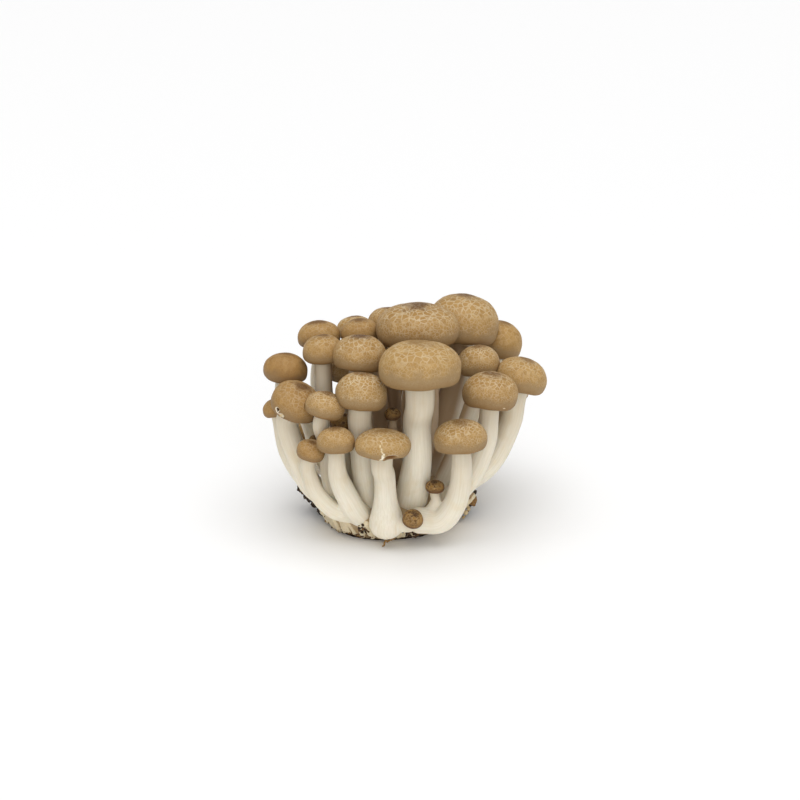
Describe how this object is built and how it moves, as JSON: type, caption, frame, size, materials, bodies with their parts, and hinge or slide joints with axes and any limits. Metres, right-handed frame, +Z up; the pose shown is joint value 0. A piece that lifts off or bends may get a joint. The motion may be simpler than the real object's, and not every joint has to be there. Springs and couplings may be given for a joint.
{
  "type": "beech mushroom cluster",
  "caption": "Bunch of brown beech mushrooms: round speckled caps with gills on pale stems that rise together from a cut foot edged with growing medium.",
  "frame": {"origin": "on the flat cut face under the foot, near its middle", "axes": "+Z up along the stems, front towards -Y, +X to the right as seen from the front"},
  "size_m": [0.1018, 0.093, 0.0795],
  "materials": {
    "cap": "satin brown cap skin with a fine pale net",
    "pin_cap": "satin dark brown skin of the youngest caps",
    "gills": "matte cream gills",
    "stem": "matte cream white flesh with fine lengthwise fibres",
    "foot": "matte cream tan flesh with brown stains at the cut",
    "crust": "rough dark growing medium of sawdust and bran"
  },
  "bodies": {
    "root": {"cap_front_middle": "cap", "cap_front_right": "cap", "cap_front_left": "cap", "cap_front_big": "cap", "cap_low_left": "cap", "cap_second_left": "cap", "cap_left_leaning": "cap", "cap_second_middle": "cap", "cap_right_leaning": "cap", "cap_far_right": "cap", "cap_far_left_low": "cap", "cap_far_left_high": "cap", "cap_third_left": "cap", "cap_third_middle": "cap", "cap_centre_big": "cap", "cap_right_small": "cap", "cap_back_right_big": "cap", "cap_behind_left": "cap", "cap_fourth_left": "cap", "cap_fourth_middle": "cap", "cap_right_back": "cap", "cap_fifth_middle": "cap", "cap_fifth_left": "cap", "cap_sixth_middle": "cap", "cap_back_middle": "cap", "cap_back_left": "cap", "cap_left_back": "cap", "cap_back_right": "cap", "cap_back_low": "cap", "cap_right_back_middle": "cap", "cap_back_right_low": "cap", "cap_right_low": "cap", "cap_pin_inner": "pin_cap", "cap_pin_right": "pin_cap", "cap_pin_front": "pin_cap", "cap_pin_left": "pin_cap", "cap_pin_behind": "pin_cap", "stems_front_middle": "stem", "stems_front_right": "stem", "stems_front_left": "stem", "stems_front_big": "stem", "stems_left": "stem", "stems_second_middle": "stem", "stems_right": "stem", "stems_far_right": "stem", "stems_far_left": "stem", "stems_third_left": "stem", "stems_third_middle": "stem", "stems_centre_big": "stem", "stems_back_right_big": "stem", "stems_fourth_middle": "stem", "stems_fourth_left": "stem", "stems_right_back": "stem", "stems_fifth_middle": "stem", "stems_back_left": "stem", "stems_back": "stem", "stems_back_right": "stem", "foot": "foot", "crust": "crust"}
  },
  "joints": []
}
